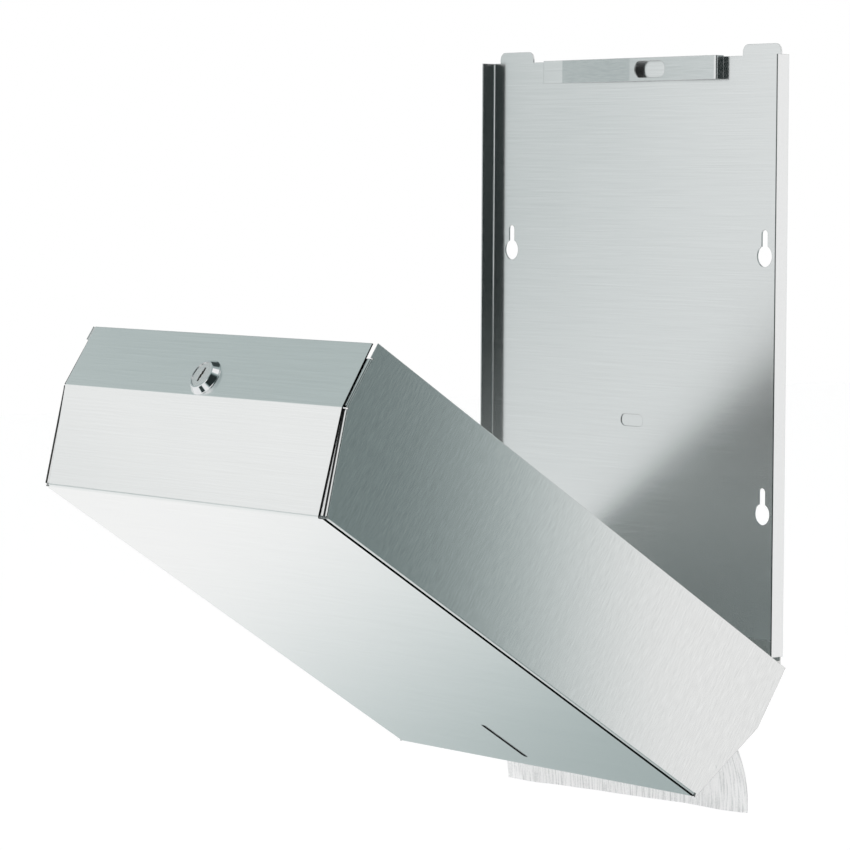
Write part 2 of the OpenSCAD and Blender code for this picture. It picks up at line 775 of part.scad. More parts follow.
// Distances by which its left lower corner hangs nearer to the wall, and lower, than the middle
tail_skew_y = 4;
tail_skew_z = 4.3;
function swing(p) =
    let (d = p - [-hinge_y, hinge_z], c = cos(open_angle), s = sin(open_angle))
    [-hinge_y, hinge_z] + [d[0] * c - d[1] * s, d[0] * s + d[1] * c];
tail_top = swing(shut(tail_depth, over_floor(tail_depth, floor_gap - seat_gap - tail_t)));

// The towel's height in shares: 0 at the opening and 1 at its lower edge
function tail_point(share) =
    tail_top + [tail_drop * tan(tail_lean) * (share - share * share / 2), -tail_drop * share];
function tail_normal(share) = polar(1, atan2(-1, tan(tail_lean) * (1 - share)) + 90);
function tail_vertex(i, j, side) =
    let (share = i / tail_rows, across = 2 * j / tail_cols - 1)
    let (p = tail_point(share) + tail_normal(share) * side * tail_t / 2)
    [towel_off + across * towel_w / 2,
        p[0] - across * tail_skew_y * share, p[1] + across * tail_skew_z * share];

module towel_leaf() {
    cols = tail_cols + 1;
    one_side = cols * (tail_rows + 1);
    function at(i, j, s) = s * one_side + i * cols + j;
    points = [for (s = [0, 1], i = [0:tail_rows], j = [0:tail_cols]) tail_vertex(i, j, 2 * s - 1)];
    faces = [for (s = [0, 1], i = [0:tail_rows - 1], j = [0:tail_cols - 1]) each quad(
        s, at(i, j, s), at(i, j + 1, s), at(i + 1, j + 1, s), at(i + 1, j, s))];
    sides = [for (e = [0, 1], i = [0:tail_rows - 1]) let (j = e * tail_cols) each quad(
        e, at(i, j, 0), at(i + 1, j, 0), at(i + 1, j, 1), at(i, j, 1))];
    ends = [for (e = [0, 1], j = [0:tail_cols - 1]) let (i = e * tail_rows) each quad(
        e, at(i, j, 0), at(i, j, 1), at(i, j + 1, 1), at(i, j + 1, 0))];
    color("white") in_place() polyhedron(points, concat(faces, sides, ends));
}
function quad(flip, a, b, c, d) = flip == 0 ? [[a, b, c], [a, c, d]] : [[a, c, b], [a, d, c]];

back_plate();
latch_strap();
hinge_leaf_plate();
hinge_pin();
hinge_leaf_cover();
cover_wrap();
side_panel_left();
side_panel_right();
lock_housing();
lock_washer();
lock_nut();
lock_plug();
lock_wafers();
wafer_springs();
stop_washer();
lock_cam();
cam_washer();
cam_screw();
towel_stack();
towel_leaf();
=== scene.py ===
"""Looks of the towel dispenser: a steel wall plate with its cover swung down on the hinge.

Lengths are in metres in the row frame: x across, y into the wall and z up.
Points of the cover are given by their depth and height with the cover shut, and swung open.
"""
import math

import bpy
from mathutils import Matrix, Vector, noise


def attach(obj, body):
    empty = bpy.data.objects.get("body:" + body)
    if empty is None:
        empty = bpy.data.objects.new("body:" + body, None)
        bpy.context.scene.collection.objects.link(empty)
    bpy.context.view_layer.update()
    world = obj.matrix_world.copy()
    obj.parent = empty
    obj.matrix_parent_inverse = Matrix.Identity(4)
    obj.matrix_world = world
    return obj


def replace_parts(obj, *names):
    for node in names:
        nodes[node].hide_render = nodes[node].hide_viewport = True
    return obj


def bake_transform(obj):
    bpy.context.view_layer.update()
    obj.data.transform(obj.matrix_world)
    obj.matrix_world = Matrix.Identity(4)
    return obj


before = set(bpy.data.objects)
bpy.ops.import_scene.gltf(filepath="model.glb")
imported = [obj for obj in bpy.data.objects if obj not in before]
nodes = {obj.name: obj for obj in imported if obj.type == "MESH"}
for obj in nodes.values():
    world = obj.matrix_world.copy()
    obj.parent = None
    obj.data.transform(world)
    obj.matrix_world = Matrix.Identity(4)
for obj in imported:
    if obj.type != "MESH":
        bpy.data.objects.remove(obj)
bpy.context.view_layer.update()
MM = 0.001

# Sizes of the part that the pieces and materials made here follow
OPEN_ANGLE = math.radians(56.85)
HINGE_Y = -2.6 * MM
HINGE_Z = 2.5 * MM
ORIGIN_Z = 163 * MM
REAR_GAP = 3.6 * MM
COVER_W = 273 * MM
COVER_H = 356 * MM
COVER_DEPTH = 95.5 * MM
FLAT_DEPTH = 39.4 * MM
SLOPE_H = 20.5 * MM
SLOPE = SLOPE_H / (COVER_DEPTH - FLAT_DEPTH)
SLOPE_ANGLE = math.atan(SLOPE)
SLOT_L = 39 * MM
SLOT_W = 3 * MM
SLOT_HEIGHT = 54.5 * MM
FLANGE_H = 10 * MM
FLOOR_GAP = 1.9 * MM
TOWEL_W = 228 * MM
TOWEL_X = 5 * MM
TOWEL_T = 1.5 * MM
TOWEL_DEPTH = 80 * MM
TOWELS = 8
STACK_FRONT = 94.4 * MM
TAIL_DEPTH = 45.3 * MM
TAIL_DROP = 54 * MM
TAIL_LEAN = math.radians(36)
TAIL_SKEW_Y = 4 * MM
TAIL_SKEW_Z = 4.3 * MM


def swung(depth, height):
    """y and z of a point of the cover, as it hangs open."""
    y, z = -(REAR_GAP + depth) - HINGE_Y, height - HINGE_Z
    c, s = math.cos(OPEN_ANGLE), math.sin(OPEN_ANGLE)
    return HINGE_Y + y * c - z * s, HINGE_Z + y * s + z * c - ORIGIN_Z


def over_floor(depth, up):
    """Height over the cover's bottom of a surface that lies that far over its bent floor."""
    knee = FLAT_DEPTH - up * math.tan(SLOPE_ANGLE / 2)
    return up + max(0.0, depth - knee) * SLOPE


# Materials
class Nodes:
    """Node tree, with short ways to add and join its nodes."""

    def __init__(self, tree):
        self.tree = tree

    def add(self, kind, **settings):
        node = self.tree.nodes.new(kind)
        for key, value in settings.items():
            setattr(node, key, value)
        return node

    def join(self, a, b):
        self.tree.links.new(a, b)

    def noise(self, vector, scale, detail=3.0, roughness=0.55):
        node = self.add("ShaderNodeTexNoise")
        node.inputs["Scale"].default_value = scale
        node.inputs["Detail"].default_value = detail
        node.inputs["Roughness"].default_value = roughness
        self.join(vector, node.inputs["Vector"])
        return node.outputs["Fac"]

    def spread(self, value, low, high, start=0.0, end=1.0, interpolation="LINEAR"):
        """value between start and end becomes a number between low and high."""
        node = self.add("ShaderNodeMapRange", interpolation_type=interpolation)
        node.inputs["From Min"].default_value = start
        node.inputs["From Max"].default_value = end
        node.inputs["To Min"].default_value = low
        node.inputs["To Max"].default_value = high
        self.join(value, node.inputs["Value"])
        return node.outputs["Result"]

    def maths(self, operation, a, b=0.0):
        node = self.add("ShaderNodeMath", operation=operation)
        for socket, value in zip(node.inputs, (a, b)):
            if isinstance(value, (int, float)):
                socket.default_value = value
            else:
                self.join(value, socket)
        return node.outputs[0]

    def between(self, share, low, high):
        """Level low where share is 0 and high where it is 1."""
        rest = self.maths("SUBTRACT", 1.0, share)
        return self.maths("ADD", self.maths("MULTIPLY", rest, low), self.maths("MULTIPLY", share, high))

    def vectors(self, operation, a, b):
        """Vector maths of an output and an output or a tuple. A dot product or distance is a number."""
        node = self.add("ShaderNodeVectorMath", operation=operation)
        self.join(a, node.inputs[0])
        if isinstance(b, (tuple, Vector)):
            node.inputs[1].default_value = b
        else:
            self.join(b, node.inputs[1])
        return node.outputs["Value" if operation in ("DOT_PRODUCT", "DISTANCE") else "Vector"]

    def length(self, a, b, c):
        """Length of the vector with these three coordinates."""
        vector = self.add("ShaderNodeCombineXYZ")
        for socket, value in zip(vector.inputs, (a, b, c)):
            self.join(value, socket)
        return self.vectors("DISTANCE", vector.outputs[0], (0, 0, 0))

    def colour_between(self, factor, first, second):
        """First colour where factor is 0 and second where it is 1, each an output or a tuple."""
        node = self.add("ShaderNodeMix", data_type="RGBA")
        for socket, colour in ((node.inputs[6], first), (node.inputs[7], second)):
            if isinstance(colour, tuple):
                socket.default_value = (*colour, 1)
            else:
                self.join(colour, socket)
        self.join(factor, node.inputs[0])
        return node.outputs[2]


# Range that most of a noise lies in
NOISE_RANGE = (0.3, 0.7)
X_AXIS = (1.0, 0.0, 0.0)


class Shader(Nodes):
    """Node tree of one material."""

    def __init__(self, name):
        self.material = bpy.data.materials.new(name)
        self.material.use_nodes = True
        super().__init__(self.material.node_tree)
        self.bsdf = next(n for n in self.tree.nodes if n.type == "BSDF_PRINCIPLED")
        self.output = next(n for n in self.tree.nodes if n.type == "OUTPUT_MATERIAL")

    def place(self, output="Object"):
        """Place of the shaded point, or its normal, in the object's own space."""
        return self.add("ShaderNodeTexCoord").outputs[output]

    def along(self, way, output="Object"):
        """The part of the place, or of the normal, that points one way."""
        return self.vectors("DOT_PRODUCT", self.place(output), way)

    def coordinates(self, turn, scale):
        """Object coordinates, turned about x by an angle and then scaled."""
        turned = self.add("ShaderNodeMapping")
        turned.inputs["Rotation"].default_value = (turn, 0, 0)
        self.join(self.place(), turned.inputs["Vector"])
        return self.vectors("MULTIPLY", turned.outputs["Vector"], scale)

    def tones(self, value, low, high):
        """Noise spread between low and high."""
        return self.spread(value, low, high, *NOISE_RANGE)

    def bump(self, height, strength, distance, normal=None):
        node = self.add("ShaderNodeBump")
        node.inputs["Strength"].default_value = strength
        node.inputs["Distance"].default_value = distance
        self.join(height, node.inputs["Height"])
        if normal is not None:
            self.join(normal, node.inputs["Normal"])
        return node.outputs["Normal"]

    def soft_edges(self, radius):
        node = self.add("ShaderNodeBevel", samples=6)
        node.inputs["Radius"].default_value = radius
        return node.outputs["Normal"]

    def brushing(self, way):
        """Tangent across the brush marks, which run that way in the object's own space."""
        across = self.vectors("CROSS_PRODUCT", self.place("Normal"), way)
        never_zero = self.vectors("ADD", across, (0.002, 0.003, 0.01))
        turned = self.add("ShaderNodeVectorTransform", vector_type="VECTOR", convert_from="OBJECT",
                          convert_to="WORLD")
        self.join(never_zero, turned.inputs[0])
        return turned.outputs[0]


# Painted shade of the cover's seams: stretches of x where the wrap's edge shades the side panels' turned-in
# edges
SEAM_INNER = 125 * MM
SEAM_OUTER = 135.3 * MM
TOP_STRETCHES = ((SEAM_INNER, 132.6 * MM), (135 * MM, 135.6 * MM))
SLOPE_STRETCHES = ((133.4 * MM, SEAM_OUTER),)
FRONT_STRETCHES = ((SEAM_INNER, SEAM_OUTER),)
# Facets with a seam: depth and height of a point, the way out as depth and height, and the stretches
SEAM_FACETS = (
    (0, COVER_H, (0, COVER_H), TOP_STRETCHES),
    (FLAT_DEPTH, COVER_H, (SLOPE_H, COVER_DEPTH - FLAT_DEPTH), SLOPE_STRETCHES),
    (COVER_DEPTH, COVER_H / 2, (COVER_DEPTH, 0), FRONT_STRETCHES),
)
# A seam's shade reaches this far under the outer face
SEAM_UNDER = 1.3 * MM
# The wrap's cut edges lie outside of this x, and face along x
CUT_EDGE_X = 129 * MM
CUT_EDGE_FACING = 0.7
# Colour of the painted shade at the seams, on the wrap's cut edges and round the slot
PAINTED_SEAM_SHADE = (0.02, 0.022, 0.022)
# Colour of the flange's front edge: partly the sheared steel's dullness, partly painted shade
SHEAR_AND_SHADE_COLOUR = (0.15, 0.16, 0.16)
SHEAR_T = 0.1 * MM
# The slot's walls and a rim round it get painted shade. Depth under the face counts by this share
SLOT_RIM = 0.9 * MM
SLOT_DEPTH_SHARE = 0.7


def seam_shade(s, stretches_of):
    """1 near the outer face of each facet with a seam, on the stretches of x made from the facet's own."""
    across = s.maths("ABSOLUTE", s.along(X_AXIS))
    hinge_foot = Vector((0, *swung(0, 0)))
    shade = None
    for depth, height, out, stretches in SEAM_FACETS:
        normal = (Vector((0, *swung(*out))) - hinge_foot).normalized()
        level = Vector((0, *swung(depth, height))).dot(normal)
        on_edge = s.maths("GREATER_THAN", s.along(normal), level - SEAM_UNDER)
        for low, high in stretches_of(stretches):
            beyond = s.maths("GREATER_THAN", across, low)
            beside = s.maths("MULTIPLY", beyond, s.maths("LESS_THAN", across, high))
            part = s.maths("MULTIPLY", on_edge, beside)
            shade = part if shade is None else s.maths("MAXIMUM", shade, part)
    return shade


def turned_edge_shade(s):
    """1 where the wrap's edge shades the side panels' turned-in edges: shade painted on them."""
    return seam_shade(s, lambda stretches: stretches)


def cut_edge_shade(s):
    """1 on the wrap's cut edges along the seams: their dark is painted shade, beyond the cut steel's own
    dullness.
    """
    edges = seam_shade(s, lambda stretches: ((CUT_EDGE_X, COVER_W),))
    facing = s.maths("ABSOLUTE", s.along(X_AXIS, "Normal"))
    return s.maths("MULTIPLY", edges, s.maths("GREATER_THAN", facing, CUT_EDGE_FACING))


def flange_shade(s):
    """1 on the sheared front edge of the right flange: its dark is partly the sheared edge's dullness,
    partly painted shade.
    """
    on_edge = s.maths("GREATER_THAN", s.along((0, -1, 0)), FLANGE_H - SHEAR_T)
    return s.maths("MULTIPLY", on_edge, s.maths("GREATER_THAN", s.along(X_AXIS), 0.0))


def slot_shade(s):
    """1 on the walls of the level slot and on a narrow rim round it, where shade is painted."""
    middle = Vector((0, *swung(COVER_DEPTH, SLOT_HEIGHT)))
    upward = (Vector((0, *swung(COVER_DEPTH, 2 * SLOT_HEIGHT))) - middle).normalized()
    off = s.vectors("SUBTRACT", s.place(), middle)
    along = s.maths("ABSOLUTE", s.vectors("DOT_PRODUCT", off, upward))
    past_middle = s.maths("MAXIMUM", s.maths("SUBTRACT", along, (SLOT_L - SLOT_W) / 2), 0.0)
    aside = s.vectors("DOT_PRODUCT", off, X_AXIS)
    deep = s.maths("MULTIPLY", s.vectors("DOT_PRODUCT", off, upward.cross(X_AXIS)), SLOT_DEPTH_SHARE)
    return s.maths("LESS_THAN", s.length(past_middle, aside, deep), SLOT_W / 2 + SLOT_RIM)


# Brush marks: the way they run, the turn about x that lays the noise along them, and two scales of noise
ALONG_X = {"way": X_AXIS, "turn": 0.0, "fine": (18, 2400, 2400), "broad": (3, 1000, 1000)}
ALONG_DEPTH = {
    "way": (0.0, math.cos(OPEN_ANGLE), math.sin(OPEN_ANGLE)), "turn": -OPEN_ANGLE,
    "fine": (1700, 130, 1700), "broad": (600, 14, 600),
}
FINE_SHARE = 0.8
# Light streaks stand out from the colour by this share of the grain, dark ones by all of it
LIGHT_GRAIN = 0.8
CLOUD_SCALE = (9, 9, 9)
BRUSHED_ROUGHNESS = (0.18, 0.21)
CLOUD_ROUGHNESS = (-0.01, 0.01)
ANISOTROPY = 0.75
POLISH_BUMP = (0.05, 0.02 * MM)
# Edges darken as the rounded normal leans off the face's own: fully at the first cosine, not at the second
EDGE_ROUND = 0.4 * MM
EDGE_COSINES = (0.78, 0.96)
# The edges' darker colour is partly the dull cut steel, partly painted shade of the gaps beside them
DULL_AND_SHADED_EDGE_SHARE = 0.25
WELD_RADII = (0.7 * MM, 1.7 * MM)
WELD_BUMP = (0.9, 0.2 * MM)


def scaled(colour, share):
    return tuple(min(1.0, c * share) for c in colour)


def brushed_steel(name, colour, grain, brush=ALONG_X, shades=(), welds=()):
    """Satin brushed steel. shades are pairs of a function that gives a share of painted shade and the colour
    it brings in.

    welds are spot welds, as places in y and z.
    """
    s = Shader(name)
    fine = s.noise(s.coordinates(brush["turn"], brush["fine"]), 1.0, 3.0, 0.6)
    broad = s.noise(s.coordinates(brush["turn"], brush["broad"]), 1.0, 2.0)
    cloud = s.noise(s.coordinates(0.0, CLOUD_SCALE), 1.0, 2.0)
    fine_part = s.maths("MULTIPLY", fine, FINE_SHARE)
    streak = s.maths("ADD", fine_part, s.maths("MULTIPLY", broad, 1 - FINE_SHARE))
    rounded = s.soft_edges(EDGE_ROUND)
    face_normal = s.add("ShaderNodeNewGeometry").outputs["True Normal"]
    edge = s.spread(s.vectors("DOT_PRODUCT", rounded, face_normal), 1, 0, *EDGE_COSINES)
    light = scaled(colour, 1 + grain * LIGHT_GRAIN)
    paint = s.colour_between(s.tones(streak, 0, 1), scaled(colour, 1 - grain), light)
    # Edges get the darker colour: dull cut steel and painted shade
    paint = s.colour_between(edge, paint, scaled(colour, DULL_AND_SHADED_EDGE_SHARE))
    # Painted shade of the seams, the slot and the flange's edge
    for shade, shade_colour in shades:
        paint = s.colour_between(shade(s), paint, shade_colour)
    roughness = s.maths("ADD", s.tones(streak, *BRUSHED_ROUGHNESS), s.tones(cloud, *CLOUD_ROUGHNESS))
    normal = s.bump(fine, *POLISH_BUMP, rounded)
    for y, z in welds:
        normal = spot_weld(s, y, z, normal)
    s.join(paint, s.bsdf.inputs["Base Color"])
    s.join(roughness, s.bsdf.inputs["Roughness"])
    s.join(normal, s.bsdf.inputs["Normal"])
    s.join(s.brushing(brush["way"]), s.bsdf.inputs["Tangent"])
    s.bsdf.inputs["Metallic"].default_value = 1.0
    s.bsdf.inputs["Anisotropic"].default_value = ANISOTROPY
    return s.material


def spot_weld(s, y, z, normal):
    """A faint round dimple pressed into the sheet at y and z."""
    flat = s.vectors("MULTIPLY", s.place(), (0, 1, 1))
    rim = s.spread(s.vectors("DISTANCE", flat, (0, y, z)), 0.0, 1.0, *WELD_RADII)
    return s.bump(rim, *WELD_BUMP, normal)


MOTTLE_SCALE = (400, 400, 400)
MOTTLE_SHARE = 0.93
SMALL_EDGE_ROUND = 0.12 * MM


def plain_metal(name, colour, roughness, uneven_by=0.03):
    """Metal with slight uneven polish."""
    s = Shader(name)
    mottle = s.noise(s.coordinates(0.0, MOTTLE_SCALE), 1.0, 3.0)
    paint = s.colour_between(s.tones(mottle, 0, 1), scaled(colour, MOTTLE_SHARE), colour)
    s.join(paint, s.bsdf.inputs["Base Color"])
    s.join(s.tones(mottle, roughness - uneven_by, roughness + uneven_by), s.bsdf.inputs["Roughness"])
    s.join(s.bump(mottle, *POLISH_BUMP, s.soft_edges(SMALL_EDGE_ROUND)), s.bsdf.inputs["Normal"])
    s.bsdf.inputs["Metallic"].default_value = 1.0
    return s.material


CREPE_SCALE = (700, 45, 1)
FIBRE_SCALE = 900.0
FIBRE_SHARE = 0.4
CREPE_RANGE = (0.54, 0.74)
CREPE_BUMP = (0.8, 0.35 * MM)
# The creping's valleys get painted shade; the ridges are the paper's white
SHADED_PAPER_VALLEY = (0.68, 0.69, 0.69)
PAPER_RIDGE = (0.95, 0.95, 0.95)


def creped_paper(name):
    """White paper with fine creping ridges and a few fibres, with painted shade in the creping's valleys. It
    has UVs in metres.
    """
    s = Shader(name)
    uv = s.add("ShaderNodeUVMap", uv_map="sheet")
    mapping = s.add("ShaderNodeMapping")
    mapping.inputs["Scale"].default_value = CREPE_SCALE
    s.join(uv.outputs[0], mapping.inputs["Vector"])
    ridges = s.noise(mapping.outputs["Vector"], 1.0, 4.0, 0.6)
    fibres = s.noise(uv.outputs[0], FIBRE_SCALE, 4.0, 0.7)
    both = s.maths("ADD", ridges, s.maths("MULTIPLY", fibres, FIBRE_SHARE))
    paint = s.colour_between(s.spread(both, 0, 1, *CREPE_RANGE), SHADED_PAPER_VALLEY, PAPER_RIDGE)
    s.join(paint, s.bsdf.inputs["Base Color"])
    s.join(s.bump(both, *CREPE_BUMP), s.bsdf.inputs["Normal"])
    s.bsdf.inputs["Roughness"].default_value = 0.95
    s.bsdf.inputs["Specular IOR Level"].default_value = 0.2
    return s.material


def weld_points(places):
    """Depths and heights in mm of the shut cover, as y and z of the open one."""
    return [swung(depth * MM, height * MM) for depth, height in places]


SATIN = (0.8, 0.805, 0.805)
GRAIN = 0.045
PANEL_GRAIN = 0.095
# Spot welds of a side panel: depth and height with the cover shut, in mm
PANEL_WELDS = ((15.3, 5.2), (51.4, 9.6), (74, 17))
steel_x = brushed_steel("brushed steel, side to side", SATIN, GRAIN)
steel_plate = brushed_steel("brushed steel, plate", SATIN, GRAIN, shades=((flange_shade, SHEAR_AND_SHADE_COLOUR),))
steel_cover = brushed_steel("brushed steel, cover", (0.86, 0.865, 0.86), GRAIN,
                            shades=((cut_edge_shade, PAINTED_SEAM_SHADE), (slot_shade, PAINTED_SEAM_SHADE)))
steel_panel = brushed_steel("brushed steel, front to back", (0.77, 0.775, 0.77), PANEL_GRAIN, ALONG_DEPTH,
                            shades=((turned_edge_shade, PAINTED_SEAM_SHADE),), welds=weld_points(PANEL_WELDS))
steel_plain = plain_metal("plain steel", (0.66, 0.66, 0.65), 0.3)
chrome = plain_metal("chrome", (0.86, 0.86, 0.87), 0.05, 0.02)
nickel = plain_metal("satin nickel", (0.88, 0.86, 0.86), 0.34)
zinc = plain_metal("zinc plate", (0.68, 0.69, 0.68), 0.34)
brass = plain_metal("brass", (0.78, 0.6, 0.3), 0.28)
paper = creped_paper("creped paper")

FINISHES = {
    "back_plate": steel_plate, "latch_strap": steel_x,
    "hinge_leaf_plate": steel_plain, "hinge_pin": steel_plain, "hinge_leaf_cover": steel_plain,
    "cover_wrap": steel_cover, "side_panel_left": steel_panel, "side_panel_right": steel_panel,
    "lock_housing": chrome, "lock_washer": zinc, "lock_nut": zinc, "lock_plug": nickel, "lock_wafers": brass,
    "wafer_springs": zinc, "stop_washer": zinc, "lock_cam": zinc, "cam_washer": zinc, "cam_screw": zinc,
}
for node_name, material in FINISHES.items():
    mesh = nodes[node_name].data
    mesh.materials.clear()
    mesh.materials.append(material)

# Towels
PLY = 0.2 * MM
PANELS = 3
PANEL_STEPS = 26
FOLD_STEPS = 5
FOLDED_COLUMNS = 24
END_GAP = 0.5 * MM
FRONT_SLACK = 0.6 * MM
REAR_SLACK = 0.8 * MM
SIDE_SLACK = 0.7 * MM
FOLDED_WAVE, FOLDED_RATE = 0.06 * MM, 60
# Each towel takes its own stretch of the paper's pattern
PATTERN_STEP = 0.3
PATTERN_TAIL = 5
TUCKED = 16 * MM
TUCK_STEPS = 8
TUCK_UNDER = 0.3 * MM
TUCK_DIP = 0.6 * MM
TAIL_STEPS = 60
TAIL_COLUMNS = 120
# Unevenness of the hanging towel: its size, and how fast it changes across
TAIL_WAVE, WAVE_RATE = 1.1 * MM, 34
TAIL_RIPPLE, RIPPLE_RATE = 0.5 * MM, 40
TAIL_CREASE, CREASE_RATE = 0.16 * MM, 230
TAIL_SAG, SAG_RATE = 0.9 * MM, 26


def uneven(size, *seed):
    """A smooth uneven number between about -size and size."""
    return size * noise.noise(Vector(seed))


def sheet_object(name, path, columns, shape, pattern_start):
    """Paper sheet along a path of y and z. shape gives the point of row i at share u, -1 to 1, of the width.

    Gives the sheet and the path's length. The UVs are places on the flat sheet.
    """
    shares = [j / columns * 2 - 1 for j in range(columns + 1)]
    points, flat, run = [], [], 0.0
    for i, here in enumerate(path):
        run += (here - path[i - 1]).length if i else 0.0
        points += [shape(i, u) for u in shares]
        flat += [(u * TOWEL_W / 2, run + pattern_start) for u in shares]
    row = columns + 1
    faces = [
        (i * row + j, i * row + j + 1, (i + 1) * row + j + 1, (i + 1) * row + j)
        for i in range(len(path) - 1) for j in range(columns)
    ]
    mesh = bpy.data.meshes.new(name)
    mesh.from_pydata(points, [], faces)
    layer = mesh.uv_layers.new(name="sheet")
    for loop in mesh.loops:
        layer.data[loop.index].uv = flat[loop.vertex_index]
    mesh.materials.append(paper)
    mesh.polygons.foreach_set("use_smooth", [True] * len(mesh.polygons))
    obj = bpy.data.objects.new(name, mesh)
    bpy.context.scene.collection.objects.link(obj)
    modifier = obj.modifiers.new("thickness", "SOLIDIFY")
    modifier.thickness = PLY
    modifier.offset = 0
    return obj, run


def folded_path(k):
    """Depth and height over the floor along a folded towel: three panels with folds at rear and front."""
    layer = TOWEL_T / PANELS
    front = STACK_FRONT - END_GAP - abs(uneven(FRONT_SLACK, k * 3.7, 1.3, 0))
    rear = STACK_FRONT - TOWEL_DEPTH + END_GAP + uneven(REAR_SLACK, k * 2.1, 5.3, 0)
    path = []
    for panel in range(PANELS):
        up = FLOOR_GAP + k * TOWEL_T + (panel + 0.5) * layer
        start, end = (front, rear) if panel % 2 == 0 else (rear, front)
        path += [(start + (end - start) * i / PANEL_STEPS, up) for i in range(PANEL_STEPS + 1)]
        if panel < PANELS - 1:
            out = math.copysign(layer / 2, end - start)
            turns = [math.pi * a / FOLD_STEPS for a in range(1, FOLD_STEPS)]
            path += [(end + out * math.sin(turn), up + layer / 2 * (1 - math.cos(turn))) for turn in turns]
    return path


def folded_towel(k):
    """One folded towel of the pile."""
    route = folded_path(k)
    path = [Vector(swung(depth, over_floor(depth, up))) for depth, up in route]
    shift = TOWEL_X + uneven(SIDE_SLACK, k * 1.9, 9.1, 0)

    def shape(i, u):
        across = u * TOWEL_W / 2
        wave = uneven(FOLDED_WAVE, across * FOLDED_RATE, route[i][0] * FOLDED_RATE, k * 4.0)
        return shift + across, path[i][0] + wave, path[i][1] + wave

    obj, run = sheet_object(f"folded_towel_{k + 1}", path, FOLDED_COLUMNS, shape, k * PATTERN_STEP)
    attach(obj, "cover")
    return obj


def hanging_path():
    """y and z down the hanging towel: first under the pile, then in a curve to the lower edge."""
    path = []
    for i in range(TUCK_STEPS + 1):
        share = i / TUCK_STEPS
        depth = TAIL_DEPTH + TUCKED * (1 - share)
        up = FLOOR_GAP - TUCK_UNDER - TUCK_DIP * share ** 4
        path.append(Vector(swung(depth, over_floor(depth, up))))
    top = path[-1]
    for i in range(1, TAIL_STEPS + 1):
        share = i / TAIL_STEPS
        inward = TAIL_DROP * math.tan(TAIL_LEAN) * (share - share * share / 2)
        path.append(top + Vector((inward, -TAIL_DROP * share)))
    return path


def hanging_towel():
    """The towel that hangs out of the opening. Its upper part lies under the pile."""
    path = hanging_path()

    def shape(i, u):
        share = max(0.0, (i - TUCK_STEPS) / TAIL_STEPS)
        across = u * TOWEL_W / 2
        wave = TAIL_WAVE * math.sin(across * WAVE_RATE + 0.6 + share * 0.8)
        wave += uneven(TAIL_RIPPLE, across * RIPPLE_RATE, share * 1.2, 3.3)
        wave += uneven(TAIL_CREASE, across * CREASE_RATE, share * 3.0, 7.7)
        y = path[i][0] + share * (wave - u * TAIL_SKEW_Y)
        sag = uneven(TAIL_SAG, across * SAG_RATE, 2.2, 0)
        z = path[i][1] + share * (sag + u * TAIL_SKEW_Z)
        return TOWEL_X + across, y, z

    obj, run = sheet_object("hanging_towel_sheet", path, TAIL_COLUMNS, shape, PATTERN_TAIL)
    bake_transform(obj)
    return obj


pile = [folded_towel(k) for k in range(TOWELS)]
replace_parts(pile[0], "towel_stack")
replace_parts(hanging_towel(), "towel_leaf")

# Stage
FLOOR_SIZE = 30.0
FLOOR_Z = -1.1
FLOOR_WHITE = 0.9
SKY_LEVEL = 0.88
FLOOR_GLOW = 1.02 - FLOOR_WHITE * SKY_LEVEL
BOARD_X = (-2.0, 0.62)
BOARD_TOP = 0.25
BOARD_Y = 12 * MM
COOL_RED = 0.72
# Grey stretches of the board: x far to the right, and x and z low down in the middle, a painted shadow of
# the part
BOARD_RIGHT_LEVELS = (1.0, 0.2)
BOARD_RIGHT_X = (0.24, 0.54)
BOARD_SHADOW_LEVEL = 0.42
BOARD_SHADOW_X = (-0.85, 0.0)
BOARD_SHADOW_Z = (-0.34, -0.26)
PLATE_LOW = -160 * MM
PLATE_TOP = 195 * MM


def mirror_rays(s):
    """1 for rays that metal or glass sends on."""
    path = s.add("ShaderNodeLightPath")
    return s.maths("MAXIMUM", path.outputs["Is Glossy Ray"], path.outputs["Is Transmission Ray"])


def cool(s, level):
    """Colour of a level of the studio: the darker, the cooler."""
    colour = s.add("ShaderNodeCombineColor")
    s.join(s.maths("MULTIPLY", level, s.spread(level, COOL_RED, 1.0)), colour.inputs["Red"])
    s.join(level, colour.inputs["Green"])
    s.join(level, colour.inputs["Blue"])
    return colour.outputs["Color"]


def floor_material():
    """White floor: it glows just enough to look white, and keeps the object's shadow."""
    s = Shader("white floor")
    s.bsdf.inputs["Base Color"].default_value = (FLOOR_WHITE, FLOOR_WHITE, FLOOR_WHITE, 1)
    s.bsdf.inputs["Roughness"].default_value = 0.9
    seen = s.maths("MAXIMUM", mirror_rays(s), s.add("ShaderNodeLightPath").outputs["Is Camera Ray"])
    s.bsdf.inputs["Emission Color"].default_value = (1, 1, 1, 1)
    s.material.cycles.emission_sampling = "NONE"
    s.join(s.maths("MULTIPLY", seen, FLOOR_GLOW), s.bsdf.inputs["Emission Strength"])
    return s.material


